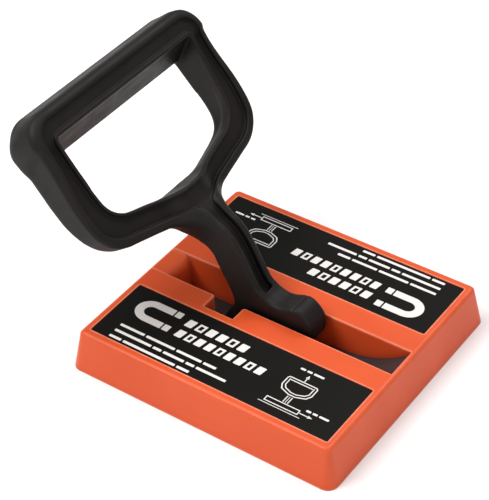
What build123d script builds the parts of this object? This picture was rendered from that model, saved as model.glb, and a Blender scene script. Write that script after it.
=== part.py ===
from build123d import *
import math
import os

# Hand-held lifting magnet with a D-grip break-off lever.
# Frame: origin at the centre of the magnet face (underside), +Z up,
# +X along the lever slot, +Y across the base. Millimetres.
# "Front" pieces lie on the -Y side and "rear" pieces on the +Y side. The lever
# leans to -X; its face looks to +X and up, its back to -X and down.
# In names, HW and HL are half widths and half lengths, R is a radius.

os.makedirs("parts", exist_ok=True)

SIDES = {"front": -1, "rear": 1}

# ------------------------------------------------------------ clearances
RUN = 0.05              # running clearance on radius
SEAT = 0.02             # seated clearance on radius
FIT = 0.1               # loose fit, on each side
LABEL_FIT = 0.2         # label film in its recess, on each side
STAND = 0.05            # what stands on the plate clears it by this
OVERCUT = 2.0           # height of cuts that run out through the deck

# ------------------------------------------------------------ base
BASE_L = 140.0          # length along the slot, at the foot
BASE_W = 130.0          # width across the slot, at the foot
BASE_H = 20.2           # deck height
DRAFT = 3.9             # the deck is this much smaller on every side
CORNER_R = 5.4          # vertical corners at the foot
DECK_CORNER_R = 2.5     # vertical corners at the deck
DECK_R = 2.1            # top edge
CHAMBER_L, CHAMBER_W, CHAMBER_R = 126.6, 116.8, 3.0
CEILING_Z = 16.5        # underside of the deck
PLATE_L, PLATE_W, PLATE_R = 132.0, 122.0, 4.0
PLATE_T = 2.0
CHAMBER_H = CEILING_Z - PLATE_T

SLOT_HW = 8.1
SLOT_X0, SLOT_X1 = -55.3, 63.7      # ends of the deep slot
SHELF_D = 0.7           # shallow notch from the deep slot to the left edge
SHELF_X0 = -72.0        # beyond the left edge of the base
SHELF_Z = BASE_H - SHELF_D
LIP_R = 4.6
POCKET_X0, POCKET_X1 = -29.4, -13.7
POCKET_FRONT = 16.8     # reach of the heel pocket from the centre line to -Y
POCKET_REAR = 15.2      # and to +Y
POCKET_XC = (POCKET_X0 + POCKET_X1) / 2
POCKET_YC = (POCKET_REAR - POCKET_FRONT) / 2
POCKET_L = POCKET_X1 - POCKET_X0
POCKET_W = POCKET_REAR + POCKET_FRONT
POCKET_CORNER_R = 1.3
SOFT_R = 0.5            # deck edges at the slot and pocket
RIB = 2.0               # thickness of slot and pocket walls
RIB_HW = SLOT_HW + RIB
RIB_X0, RIB_X1 = SLOT_X0 - RIB, CHAMBER_L / 2

# left of the pocket the slot walls reach down into a recess of the plate
FOOT_X0, FOOT_X1 = RIB_X0, POCKET_X0 - RIB
FOOT_XC = (FOOT_X0 + FOOT_X1) / 2
FOOT_L = FOOT_X1 - FOOT_X0
FOOT_Z = 0.8            # floor of the recess

LABEL_HL = 62.4
LABEL_Y0, LABEL_Y1 = 21.1, 56.9
LABEL_W = LABEL_Y1 - LABEL_Y0
LABEL_YC = (LABEL_Y0 + LABEL_Y1) / 2
LABEL_R = 0.6
LABEL_RECESS = 0.6
LABEL_T = 0.35
LABEL_Z = BASE_H - LABEL_RECESS

# ------------------------------------------------------------ pivot and heel
PIVOT_X, PIVOT_Z = 7.7, 11.2
PIN_R = 4.0
PIN_HL = 18.4
PIN_WALL_GAP = 0.3      # radial gap where the pin crosses the slot walls
BUSH_R = 5.0
WASHER_R, WASHER_T = 6.2, 1.3
LEVER_HW = 6.55         # half thickness of the lever stem
BUSH_HL = LEVER_HW - 0.05
BLOCK_X0, BLOCK_X1 = -8.0, 24.0
BLOCK_Y0, BLOCK_Y1 = 10.3, 18.6
BLOCK_H = 14.2

HEEL_X, HEEL_Z = -20.5, 5.3
HEEL_BAR_R = 3.3
HEEL_BAR_HL = 14.6
LOCK_PIN_R, LOCK_PIN_BORE_R = 1.25, 0.55
LOCK_PIN_Z0, LOCK_PIN_L = 1.2, 11.6

# ------------------------------------------------------------ magnet packs
POLE_TOP = 16.0
POLES = {"inner": (19.0, 24.5), "middle": (35.5, 42.5), "outer": (53.0, 58.2)}  # |y| from, to
MAG_ROWS = {"inner": (POLES["inner"][1], POLES["middle"][0]),
            "outer": (POLES["middle"][1], POLES["outer"][0])}
MAG_LEN, MAG_GAP, MAG_H = 33.0, 4.5, 13.8
MAG_PITCH = MAG_LEN + MAG_GAP
GLUE = 0.05             # glue line
POLE_HL = (3 * MAG_LEN + 2 * MAG_GAP) / 2
ROD_X = MAG_PITCH / 2   # tie rods pass through the gaps between magnets
ROD_Z = 9.0
ROD_R = 2.0
ROD_HOLE_R = 2.15
ROD_Y, ROD_L = 52.9, 33.0       # |y| of the outer end, length towards the centre

# ------------------------------------------------------------ screws
SCREW_R = 1.5
SCREW_HEAD_R = 2.85
SCREW_HEAD_Z = 0.15     # face of the head, just inside the plate
PLATE_SCREW_TOP, BLOCK_SCREW_TOP = 10.5, 9.0
HEX_R, HEX_D = 1.15, 1.1
SCREW_HOLE_D = 9.5
BOSS_R = 3.6
CLEAR_HOLE_R, COUNTERSINK_R = 1.7, 3.26
boss_pts = [(x_sign * x, y_sign * y) for x, y in ((59.0, 47.0), (47.0, 14.4))
            for x_sign in (1, -1) for y_sign in (1, -1)]
block_screw_pts = [(x, y) for y in (14.6, -14.6) for x in (BLOCK_X0 + 4.0, BLOCK_X1 - 4.0)]

# ------------------------------------------------------------ grip plane
# local x = +Y, local y runs up the grip, the normal points out of its face
TILT = math.radians(36.2)
GRIP_O = (-54.36, 0.0, 79.44)
GRIP_N = (math.cos(TILT), 0.0, math.sin(TILT))
GRIP_DEPTH = 17.0
grip_plane = Plane(origin=GRIP_O, x_dir=(0, 1, 0), z_dir=GRIP_N)


def on_grip(up, out):
    """x, z of the point `up` along the grip plane and `out` along its normal."""
    return (GRIP_O[0] - up * math.sin(TILT) + out * math.cos(TILT),
            GRIP_O[2] + up * math.cos(TILT) + out * math.sin(TILT))


def cross_plane(x, z, half_length):
    """Plane facing -Y, at the +Y end of a bar that lies across the base."""
    return Plane(origin=(x, half_length, z), x_dir=(1, 0, 0), z_dir=(0, -1, 0))


def save(part, name):
    part.label = name
    export_step(part, f"parts/{name}.step")


# ------------------------------------------------------------ housing shell
with BuildPart() as housing_shell:
    with BuildSketch():
        RectangleRounded(BASE_L, BASE_W, CORNER_R)
    with BuildSketch(Plane.XY.offset(BASE_H)):
        RectangleRounded(BASE_L - 2 * DRAFT, BASE_W - 2 * DRAFT, DECK_CORNER_R)
    loft(ruled=True)
    top = housing_shell.faces().sort_by(Axis.Z)[-1]
    fillet(top.edges(), DECK_R)
    # rebate for the face plate, then the magnet chamber above it
    with BuildSketch(Plane.XY):
        RectangleRounded(PLATE_L + 2 * FIT, PLATE_W + 2 * FIT, PLATE_R + FIT)
    extrude(amount=PLATE_T, mode=Mode.SUBTRACT)
    with BuildSketch(Plane.XY.offset(PLATE_T)):
        RectangleRounded(CHAMBER_L, CHAMBER_W, CHAMBER_R)
    extrude(amount=CHAMBER_H, mode=Mode.SUBTRACT)
    # walls of the slot and of the heel pocket
    with BuildSketch(Plane.XY.offset(PLATE_T + STAND)):
        with Locations(((RIB_X0 + RIB_X1) / 2, 0)):
            Rectangle(RIB_X1 - RIB_X0, 2 * RIB_HW)
        with Locations((POCKET_XC, POCKET_YC)):
            Rectangle(POCKET_L + 2 * RIB, POCKET_W + 2 * RIB)
    extrude(amount=CHAMBER_H)
    # feet of the slot walls
    with BuildSketch(Plane.XY.offset(FOOT_Z + STAND)):
        with Locations((FOOT_XC, 0)):
            Rectangle(FOOT_L, 2 * RIB_HW)
    extrude(amount=PLATE_T)
    # the slot and the pocket go right through; soft corners where they meet
    with BuildSketch(Plane.XY) as well:
        with Locations(((SLOT_X0 + SLOT_X1) / 2, 0)):
            Rectangle(SLOT_X1 - SLOT_X0, 2 * SLOT_HW)
        with Locations((POCKET_XC, POCKET_YC)):
            Rectangle(POCKET_L, POCKET_W)
        inside_corners = (well.vertices()
                          .filter_by_position(Axis.X, POCKET_X0 - 0.1, POCKET_X1 + 0.1)
                          .filter_by_position(Axis.Y, -SLOT_HW - 0.1, SLOT_HW + 0.1))
        fillet(inside_corners, POCKET_CORNER_R)
    extrude(amount=BASE_H + 1, mode=Mode.SUBTRACT)
    # shallow shelf that carries the slot out to the left edge
    with BuildSketch(Plane.XY.offset(SHELF_Z)):
        with Locations(((SLOT_X0 + SHELF_X0) / 2, 0)):
            Rectangle(SLOT_X0 - SHELF_X0, 2 * SLOT_HW)
    extrude(amount=OVERCUT, mode=Mode.SUBTRACT)
    # label recesses
    with BuildSketch(Plane.XY.offset(LABEL_Z)):
        with Locations((0, LABEL_YC), (0, -LABEL_YC)):
            RectangleRounded(2 * (LABEL_HL + LABEL_FIT), LABEL_W + 2 * LABEL_FIT,
                             LABEL_R + LABEL_FIT)
    extrude(amount=OVERCUT, mode=Mode.SUBTRACT)
    # bosses for the plate screws
    with BuildSketch(Plane.XY.offset(PLATE_T + STAND)):
        with Locations(*boss_pts):
            Circle(BOSS_R)
    extrude(amount=CHAMBER_H)
    with BuildSketch(Plane.XY.offset(PLATE_T)):
        with Locations(*boss_pts):
            Circle(SCREW_R + SEAT)
    extrude(amount=SCREW_HOLE_D, mode=Mode.SUBTRACT)
    # the pivot pin passes through the slot walls
    with BuildSketch(Plane.XZ):
        with Locations((PIVOT_X, PIVOT_Z)):
            Circle(PIN_R + PIN_WALL_GAP)
    extrude(amount=12, both=True, mode=Mode.SUBTRACT)
    # rounded lip where the shelf drops into the slot
    lip = (housing_shell.edges().filter_by(Axis.Y)
           .filter_by_position(Axis.X, SLOT_X0 - 0.1, SLOT_X0 + 0.1)
           .filter_by_position(Axis.Z, SHELF_Z - 0.1, SHELF_Z + 0.1))
    fillet(lip, LIP_R)
    # soft deck edges around the pocket and along the slot to its right
    soft = (housing_shell.edges().filter_by(GeomType.LINE)
            .filter_by_position(Axis.Z, BASE_H - 0.01, BASE_H + 0.01)
            .filter_by_position(Axis.Y, -POCKET_FRONT - 0.05, POCKET_FRONT + 0.05)
            .filter_by_position(Axis.X, POCKET_X0 - 0.05, SLOT_X1 + 0.05))
    fillet(soft, SOFT_R)
save(housing_shell.part, "housing_shell")

# ------------------------------------------------------------ magnet face plate
SCOOP_CX, SCOOP_CZ, SCOOP_R = 24.2, 61.3, 58.0     # concave ramp in the slot
RAMP_X0, RAMP_X1 = SCOOP_CX - 3.6, SLOT_X1 - FIT
RAMP_ROOT_Z = PLATE_T - 0.5         # the ramp is sunk into the plate to here
HEEL_WINDOW_X1, HEEL_WINDOW_HW = -4.5, 7.4


def scoop_point(x):
    """Point x, z on the concave arc of the ramp."""
    return (x, SCOOP_CZ - math.sqrt(SCOOP_R ** 2 - (x - SCOOP_CX) ** 2))


with BuildPart() as bottom_plate:
    with BuildSketch(Plane.XY):
        RectangleRounded(PLATE_L, PLATE_W, PLATE_R)
    extrude(amount=PLATE_T)
    # the ramp that closes the right part of the slot
    with BuildSketch(Plane.XZ):
        with BuildLine():
            ramp_toe = (RAMP_X0, PLATE_T)
            scoop_start = scoop_point(SCOOP_CX)
            scoop_end = scoop_point(RAMP_X1)
            Polyline(ramp_toe, (RAMP_X0, RAMP_ROOT_Z), (RAMP_X1, RAMP_ROOT_Z), scoop_end)
            ThreePointArc(scoop_end, scoop_point((SCOOP_CX + RAMP_X1) / 2), scoop_start)
            Spline(scoop_start, ramp_toe, tangents=((-1, 0), (-1, -0.8)))
        make_face()
    extrude(amount=SLOT_HW - FIT, both=True)
    # recess that takes the feet of the slot walls
    with BuildSketch(Plane.XY.offset(FOOT_Z)):
        with Locations((FOOT_XC, 0)):
            Rectangle(FOOT_L + 2 * FIT, 2 * (RIB_HW + FIT))
    extrude(amount=PLATE_T, mode=Mode.SUBTRACT)
    with BuildSketch(Plane.XY):
        # lever window: wide for the heel bar, narrow for the heel itself
        with Locations((POCKET_XC, POCKET_YC)):
            Rectangle(POCKET_L, POCKET_W)
        with Locations(((POCKET_X1 + HEEL_WINDOW_X1) / 2, 0)):
            Rectangle(HEEL_WINDOW_X1 - POCKET_X1, 2 * HEEL_WINDOW_HW)
        # windows for the pole bars
        for y0, y1 in POLES.values():
            for sign in (1, -1):
                with Locations((0, sign * (y0 + y1) / 2)):
                    Rectangle(2 * (POLE_HL + FIT), y1 - y0 + 2 * FIT)
    extrude(amount=PLATE_T, mode=Mode.SUBTRACT)
    with Locations(*[Location((x, y, 0), (180, 0, 0)) for x, y in boss_pts + block_screw_pts]):
        CounterSinkHole(radius=CLEAR_HOLE_R, counter_sink_radius=COUNTERSINK_R,
                        depth=PLATE_T, counter_sink_angle=90)
save(bottom_plate.part, "bottom_plate")

# ------------------------------------------------------------ label films
for side, sign in SIDES.items():
    with BuildPart() as label_film:
        with BuildSketch(Plane.XY.offset(LABEL_Z)):
            with Locations((0, sign * LABEL_YC)):
                RectangleRounded(2 * LABEL_HL, LABEL_W, LABEL_R)
        extrude(amount=LABEL_T)
    save(label_film.part, f"label_{side}")

# ------------------------------------------------ magnet packs, both sides
for side, sign in SIDES.items():
    for pole, (y0, y1) in POLES.items():
        with BuildPart() as pole_bar:
            with BuildSketch(Plane.XY):
                with Locations((0, sign * (y0 + y1) / 2)):
                    Rectangle(2 * POLE_HL, y1 - y0)
            extrude(amount=POLE_TOP)
            chamfer(pole_bar.edges().filter_by(Axis.X).group_by(Axis.Z)[-1], 0.4)
            with BuildSketch(Plane.XZ):
                with Locations((-ROD_X, ROD_Z), (ROD_X, ROD_Z)):
                    Circle(ROD_HOLE_R)
            extrude(amount=70, both=True, mode=Mode.SUBTRACT)
        save(pole_bar.part, f"pole_bar_{pole}_{side}")

    for row, (y0, y1) in MAG_ROWS.items():
        with BuildPart() as magnet_row:
            for k in (-1, 0, 1):
                with BuildSketch(Plane.XY.offset(PLATE_T + GLUE)):
                    with Locations((k * MAG_PITCH, sign * (y0 + y1) / 2)):
                        Rectangle(MAG_LEN, y1 - y0 - 2 * GLUE)
                extrude(amount=MAG_H)
            chamfer(magnet_row.edges().filter_by(Axis.Z), 0.5)
        save(magnet_row.part, f"magnets_{row}_{side}")

    # two plain rods, from just short of the outer pole bar into the inner one
    with BuildPart() as tie_rods:
        for x in (-ROD_X, ROD_X):
            rod_plane = Plane(origin=(x, sign * ROD_Y, ROD_Z), x_dir=(1, 0, 0),
                              z_dir=(0, -sign, 0))
            with BuildSketch(rod_plane):
                Circle(ROD_R)
            extrude(amount=ROD_L)
    save(tie_rods.part, f"pack_tie_rods_{side}")

# ------------------------------------------------------------ pivot hardware
for side, sign in SIDES.items():
    with BuildPart() as pivot_block:
        with BuildSketch(Plane.XY.offset(PLATE_T + STAND)):
            with Locations(((BLOCK_X0 + BLOCK_X1) / 2, sign * (BLOCK_Y0 + BLOCK_Y1) / 2)):
                Rectangle(BLOCK_X1 - BLOCK_X0, BLOCK_Y1 - BLOCK_Y0)
        extrude(amount=BLOCK_H)
        chamfer(pivot_block.edges().filter_by(Axis.Y).group_by(Axis.Z)[-1], 2.0)
        with BuildSketch(Plane.XZ):
            with Locations((PIVOT_X, PIVOT_Z)):
                Circle(PIN_R + SEAT)
        extrude(amount=30, both=True, mode=Mode.SUBTRACT)
        with BuildSketch(Plane.XY):
            with Locations(*[point for point in block_screw_pts if point[1] * sign > 0]):
                Circle(SCREW_R + SEAT)
        extrude(amount=SCREW_HOLE_D, mode=Mode.SUBTRACT)
    save(pivot_block.part, f"pivot_block_{side}")

    washer_plane = Plane(origin=(PIVOT_X, sign * (LEVER_HW + FIT), PIVOT_Z),
                         x_dir=(1, 0, 0), z_dir=(0, sign, 0))
    with BuildPart() as thrust_washer:
        with BuildSketch(washer_plane):
            Circle(WASHER_R)
            Circle(PIN_R + RUN, mode=Mode.SUBTRACT)
        extrude(amount=WASHER_T)
        rims = thrust_washer.edges().filter_by(GeomType.CIRCLE).sort_by(SortBy.RADIUS)[-2:]
        chamfer(rims, 0.25)
    save(thrust_washer.part, f"thrust_washer_{side}")

with BuildPart() as pivot_pin:
    with BuildSketch(cross_plane(PIVOT_X, PIVOT_Z, PIN_HL)):
        Circle(PIN_R)
    extrude(amount=2 * PIN_HL)
    chamfer(pivot_pin.edges().filter_by(GeomType.CIRCLE), 0.5)
save(pivot_pin.part, "pivot_pin")

with BuildPart() as lever_bush:
    with BuildSketch(cross_plane(PIVOT_X, PIVOT_Z, BUSH_HL)):
        Circle(BUSH_R)
        Circle(PIN_R + RUN, mode=Mode.SUBTRACT)
    extrude(amount=2 * BUSH_HL)
save(lever_bush.part, "lever_bush")


# ------------------------------------------------------ countersunk screws
def screw_group(points, tip_z):
    """M3 countersunk screws, heads at the underside and tips up at tip_z."""
    # half section: radius, z
    profile = [(0, SCREW_HEAD_Z), (SCREW_HEAD_R, SCREW_HEAD_Z), (SCREW_HEAD_R, 0.35),
               (SCREW_R, 1.7), (SCREW_R, tip_z - 0.5), (SCREW_R - 0.5, tip_z), (0, tip_z)]
    with BuildPart() as screws:
        with Locations(*[(x, y, 0) for x, y in points]):
            with BuildSketch(Plane.XZ, mode=Mode.PRIVATE) as half:
                with BuildLine():
                    Polyline(*profile, close=True)
                make_face()
            add(revolve(half.sketch, axis=Axis.Z, mode=Mode.PRIVATE))
        with Locations(*[(x, y, SCREW_HEAD_Z) for x, y in points]):
            with BuildSketch(Plane.XY, mode=Mode.PRIVATE) as recess:
                RegularPolygon(HEX_R, 6)
            add(extrude(recess.sketch, amount=HEX_D, mode=Mode.PRIVATE), mode=Mode.SUBTRACT)
    return screws.part


save(screw_group(boss_pts, PLATE_SCREW_TOP), "plate_screws")
save(screw_group(block_screw_pts, BLOCK_SCREW_TOP), "pivot_block_screws")


# ------------------------------------------------------------ D of the lever
def half_outline(grow=0.0):
    """+Y half of the D outline in the grip plane, top to bottom, offset by grow."""
    side_x = 58.3 + grow
    top_y = 54.0 + grow
    bend_end = (43.4 + 0.25 * grow, -16.1 - grow)
    Line((0, top_y), (45.5, top_y))
    RadiusArc((45.5, top_y), (side_x, 41.2), 12.8 + grow)
    Line((side_x, 41.2), (side_x, 1.5))
    Spline((side_x, 1.5), (55.1 + 0.9 * grow, -7.1 - 0.45 * grow),
           (50.6 + 0.6 * grow, -12.2 - 0.8 * grow), bend_end,
           tangents=((0, -1), (-1, -0.25)))
    Line(bend_end, (0, -26.9 - 1.05 * grow))


def half_opening(grow=0.0):
    """+Y half of the hand opening, top to bottom, offset by grow."""
    side_x = 46.5 + grow
    top_y = 41.3 + grow
    bend_end = (34.5 + 0.25 * grow, -3.4 - grow)
    slope_end = (12.0 + 0.1 * grow, -9.6 - grow)
    Line((0, top_y), (44.9, top_y))
    RadiusArc((44.9, top_y), (side_x, 39.7), 1.6 + grow)
    Line((side_x, 39.7), (side_x, 10.5))
    Spline((side_x, 10.5), (44.4 + 0.9 * grow, 4.2 - 0.45 * grow),
           (40.6 + 0.6 * grow, -0.4 - 0.8 * grow), bend_end,
           tangents=((0, -1), (-1, -0.27)))
    Line(bend_end, slope_end)
    Spline(slope_end, (0, -10.9 - grow), tangents=((-1, -0.27), (-1, 0)))


def at_depth(out, tol=0.05):
    """Selects edges whose centre is `out` along the normal of the grip plane."""
    return lambda e: abs((e.center() - Vector(*GRIP_O)).dot(Vector(*GRIP_N)) - out) < tol


CHANNEL_D = 1.6
CHANNEL_RIM = 4.2       # rim left along the outline of the D
CHANNEL_LIP = 1.7       # rim left around the hand opening

with BuildPart() as ring:
    with BuildSketch(grip_plane):
        with BuildLine():
            half_outline()
            mirror(about=Plane.YZ)
        make_face()
    extrude(amount=-GRIP_DEPTH)
    fillet(ring.edges().filter_by(at_depth(-GRIP_DEPTH)), 4.6)
    fillet(ring.edges().filter_by(at_depth(0)), 1.8)
    # hand opening
    with BuildSketch(grip_plane.offset(1)):
        with BuildLine():
            half_opening()
            mirror(about=Plane.YZ)
        make_face()
    extrude(amount=-60, mode=Mode.SUBTRACT)
    fillet(ring.edges().filter_by(at_depth(-GRIP_DEPTH)), 4.0)
    # channel in the face of the D
    with BuildSketch(grip_plane.offset(1)):
        with BuildLine():
            half_outline(-CHANNEL_RIM)
            mirror(about=Plane.YZ)
        make_face()
        with BuildLine():
            half_opening(CHANNEL_LIP)
            mirror(about=Plane.YZ)
        make_face(mode=Mode.SUBTRACT)
    extrude(amount=-(CHANNEL_D + 1), mode=Mode.SUBTRACT)

# the grip bar is deeper and fuller than the legs of the D
# section points: up the grip plane, out along its normal
BAR_FACE = [(50.2, -1.6), (43.1, -1.6), (43.1, -0.3), (41.3, -0.3), (30.9, -16.6)]
BAR_BACK = [(30.9, -16.6), (33.5, -19.6), (41.5, -20.9), (48.0, -18.2), (52.6, -12.6),
            (54.3, -6.0)]
BAR_HL = 58.2

with BuildPart() as grip_bar:
    with BuildSketch(Plane.XZ):
        with BuildLine():
            Polyline(*[on_grip(up, out) for up, out in BAR_FACE])
            Spline(*[on_grip(up, out) for up, out in BAR_BACK])
            Line(on_grip(*BAR_BACK[-1]), on_grip(*BAR_FACE[0]))
        make_face()
    extrude(amount=BAR_HL, both=True)
    # round its ends to follow the top corners of the D
    with BuildSketch(grip_plane.offset(30)):
        with BuildLine():
            Polyline((0, 54.2), (42.9, 54.2))
            RadiusArc((42.9, 54.2), (57.5, 39.6), 14.6)
            Line((57.5, 39.6), (57.5, 24.0))
            Line((57.5, 24.0), (0, 24.0))
            mirror(about=Plane.YZ)
        make_face()
    extrude(amount=-80, mode=Mode.INTERSECT)

# ------------------------------------------------------------ stem of the lever
STEM_TOP = -13.0        # up the grip plane, where the stem enters the D
STEM_BACK = -16.6       # along the normal, just inside the back of the D

# side profile as x, z: the face from the D down to the nose
FACE_PTS = [on_grip(STEM_TOP, 0), on_grip(-16.5, 0.25), (-40.0, 63.3), (-34.6, 62.0),
            (-29.6, 60.3), (-25.2, 58.2), (-21.0, 54.6), (-17.0, 49.0), (-13.7, 42.9),
            (-10.4, 36.2), (-7.4, 31.4), (-5.0, 29.5), (-3.0, 28.2), (-0.5, 27.3),
            (2.5, 26.9), (5.0, 27.3), (7.5, 28.2), (9.9, 29.2)]
# round the nose and under the pivot
NOSE_PTS = [(9.9, 29.2), (12.6, 29.7), (14.5, 29.3), (16.6, 28.2), (18.8, 26.2), (20.5, 23.8),
            (21.3, 20.5), (21.2, 17.0), (20.3, 14.0), (18.4, 11.2), (16.5, 8.6), (12.9, 5.6),
            (8.0, 4.5), (3.5, 5.6), (-0.5, 7.2)]
# underside from the nose to the heel
SOLE_PTS = [(-0.5, 7.2), (-6.0, 7.9), (-10.5, 6.6), (-14.6, 4.6)]
# the back from the heel up to the D
BACK_PTS = [(-26.0, 8.2), (-23.6, 13.0), (-21.2, 16.8), (-20.7, 20.4), (-21.9, 24.3),
            (-24.2, 29.0), (-26.9, 33.7), (-29.3, 38.5), (-31.4, 42.4), (-34.4, 44.9),
            (-38.8, 46.4), (-45.0, 47.0), on_grip(-21.0, STEM_BACK)]


def inward(points, depths):
    """Points moved to the right of their direction of travel."""
    moved = []
    for k, (x, z) in enumerate(points):
        x0, z0 = points[max(k - 1, 0)]
        x1, z1 = points[min(k + 1, len(points) - 1)]
        dx, dz = x1 - x0, z1 - z0
        run = math.hypot(dx, dz)
        moved.append((x + depths[k] * dz / run, z - depths[k] * dx / run))
    return moved


with BuildPart() as stem:
    with BuildSketch(Plane.XZ):
        with BuildLine():
            face = Spline(*FACE_PTS)
            nose = Spline(*NOSE_PTS, tangents=(face % 1, (-1, 0.35)))
            Spline(*SOLE_PTS, tangents=(nose % 1, (-0.75, -0.9)))
            ThreePointArc(SOLE_PTS[-1], (HEEL_X - 0.6, 0.55), BACK_PTS[0])
            Spline(*BACK_PTS)
            Line(BACK_PTS[-1], on_grip(STEM_TOP, STEM_BACK))
            Line(on_grip(STEM_TOP, STEM_BACK), FACE_PTS[0])
        make_face()
    extrude(amount=LEVER_HW, both=True)

# webs that sweep the diagonals of the D into the sides of the stem
web_face = inward(FACE_PTS[1:9], [1.0] * 8)
WEB_BACK = [(-27.4, 39.8), (-29.8, 43.6), (-33.4, 46.8), (-39.6, 48.8),
            on_grip(-20.6, -14.0)]      # x, z

with BuildPart() as web:
    with BuildSketch(Plane.XZ):
        with BuildLine():
            Spline(*web_face)
            Line(web_face[-1], WEB_BACK[0])
            Spline(*WEB_BACK)
            Line(WEB_BACK[-1], web_face[0])
        make_face()
    extrude(amount=24, both=True)
    # tapering outline of the webs in the grip plane
    with BuildSketch(grip_plane.offset(40)):
        with BuildLine():
            Line((0, -14.0), (24.0, -18.0))
            Line((24.0, -18.0), (22.5, -20.4))
            Spline((22.5, -20.4), (16.6, -23.2), (12.2, -28.0), (9.0, -35.0), (6.2, -46.0))
            Line((6.2, -46.0), (0, -46.0))
            mirror(about=Plane.YZ)
        make_face()
    extrude(amount=-80, mode=Mode.INTERSECT)

# groove down the face of the stem, fed by the channel of the D;
# one depth for each face point, and the last lies outside so that it runs out
GROOVE_DEPTHS = [1.6, 1.6, 1.7, 1.9, 2.1, 2.2, 2.2, 2.2, 2.2, 2.2, 1.9, -0.9]
groove_face = FACE_PTS[:len(GROOVE_DEPTHS)]
groove_floor = inward(groove_face, GROOVE_DEPTHS)
groove_top = inward(groove_face, [-4.0] * len(GROOVE_DEPTHS))

with BuildPart() as groove:
    with BuildSketch(Plane.XZ):
        with BuildLine():
            Spline(*groove_floor)
            Line(groove_floor[-1], groove_top[-1])
            Spline(*reversed(groove_top))
            Line(groove_top[0], groove_floor[0])
        make_face()
    extrude(amount=9, both=True)
    # outline in the grip plane: wide at the D, then narrow down the stem
    with BuildSketch(grip_plane.offset(60)):
        with BuildLine():
            Line((0, -12.0), (8.0, -12.0))
            Line((8.0, -12.0), (8.0, -18.6))
            Spline((8.0, -18.6), (4.9, -21.6), (3.4, -26.5), (2.9, -34.0),
                   tangents=((-1, -0.25), (0, -1)))
            Line((2.9, -34.0), (2.9, -140.0))
            Line((2.9, -140.0), (0, -140.0))
            mirror(about=Plane.YZ)
        make_face()
    extrude(amount=-120, mode=Mode.INTERSECT)

# ------------------------------------------------------------ whole lever
with BuildPart() as handle_lever:
    add(ring.part)
    add(grip_bar.part)
    add(stem.part)
    add(web.part)
    add(groove.part, mode=Mode.SUBTRACT)
    # bore for the bush, bore for the heel bar, hole for its lock pin
    with BuildSketch(Plane.XZ):
        with Locations((PIVOT_X, PIVOT_Z)):
            Circle(BUSH_R + SEAT)
        with Locations((HEEL_X, HEEL_Z)):
            Circle(HEEL_BAR_R + SEAT)
    extrude(amount=20, both=True, mode=Mode.SUBTRACT)
    with BuildSketch(Plane.XY):
        with Locations((HEEL_X, 0)):
            Circle(LOCK_PIN_R + SEAT)
    extrude(amount=13.0, mode=Mode.SUBTRACT)
save(handle_lever.part, "handle_lever")

# ------------------------------------------------------------ heel bar and lock pin
with BuildPart() as heel_bar:
    with BuildSketch(cross_plane(HEEL_X, HEEL_Z, HEEL_BAR_HL)):
        Circle(HEEL_BAR_R)
    extrude(amount=2 * HEEL_BAR_HL)
    chamfer(heel_bar.edges().filter_by(GeomType.CIRCLE), 0.7)
    with BuildSketch(Plane.XY):
        with Locations((HEEL_X, 0)):
            Circle(LOCK_PIN_R + SEAT)
    extrude(amount=20, mode=Mode.SUBTRACT)
save(heel_bar.part, "heel_bar")

with BuildPart() as heel_bar_pin:
    with BuildSketch(Plane.XY.offset(LOCK_PIN_Z0)):
        with Locations((HEEL_X, 0)):
            Circle(LOCK_PIN_R)
            Circle(LOCK_PIN_BORE_R, mode=Mode.SUBTRACT)
    extrude(amount=LOCK_PIN_L)
save(heel_bar_pin.part, "heel_bar_pin")
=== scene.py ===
"""A magnet block with a lever: orange housing, printed labels, steel pole bars, black D-handle.

Metres, +Z up. The lever is symmetric about y = 0: its nose points to +X, and its grip rises
and leans to -X. The front label is on the -Y side, the rear one is the same turned half round.
"""

import math
from fnmatch import fnmatchcase

import bmesh
import bpy
import numpy as np
import openvdb
from mathutils import Matrix, Vector


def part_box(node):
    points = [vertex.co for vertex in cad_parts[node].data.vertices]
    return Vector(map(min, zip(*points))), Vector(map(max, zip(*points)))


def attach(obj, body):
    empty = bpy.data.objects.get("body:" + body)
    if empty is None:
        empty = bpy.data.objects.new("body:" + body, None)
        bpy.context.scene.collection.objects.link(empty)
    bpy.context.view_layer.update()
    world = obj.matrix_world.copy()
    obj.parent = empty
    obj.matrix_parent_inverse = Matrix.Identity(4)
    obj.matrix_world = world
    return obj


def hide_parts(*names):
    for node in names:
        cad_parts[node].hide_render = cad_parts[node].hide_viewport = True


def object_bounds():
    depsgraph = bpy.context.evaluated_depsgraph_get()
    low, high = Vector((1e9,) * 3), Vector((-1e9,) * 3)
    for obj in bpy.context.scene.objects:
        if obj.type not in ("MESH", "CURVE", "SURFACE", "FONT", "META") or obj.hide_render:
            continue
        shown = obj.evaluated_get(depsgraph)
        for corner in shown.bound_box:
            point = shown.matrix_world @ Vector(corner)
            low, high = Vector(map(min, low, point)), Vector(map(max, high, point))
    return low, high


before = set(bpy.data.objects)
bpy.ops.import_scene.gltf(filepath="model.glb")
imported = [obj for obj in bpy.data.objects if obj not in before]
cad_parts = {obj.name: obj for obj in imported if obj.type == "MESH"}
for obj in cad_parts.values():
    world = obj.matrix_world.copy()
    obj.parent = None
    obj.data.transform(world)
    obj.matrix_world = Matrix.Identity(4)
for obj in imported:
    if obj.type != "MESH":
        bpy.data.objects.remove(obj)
cad_lo, cad_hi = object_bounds()
scene = bpy.context.scene
MM = 0.001


def add_object(name, data):
    obj = bpy.data.objects.new(name, data)
    scene.collection.objects.link(obj)
    return obj


# =====================================================================
# Material builder
# =====================================================================
SOCKETS = {
    "color": "Base Color",
    "roughness": "Roughness",
    "normal": "Normal",
    "specular": "Specular IOR Level",
    "metallic": "Metallic",
    "scatter": "Subsurface Weight",
    "scatter_radius": "Subsurface Radius",
    "scatter_scale": "Subsurface Scale",
}


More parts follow.
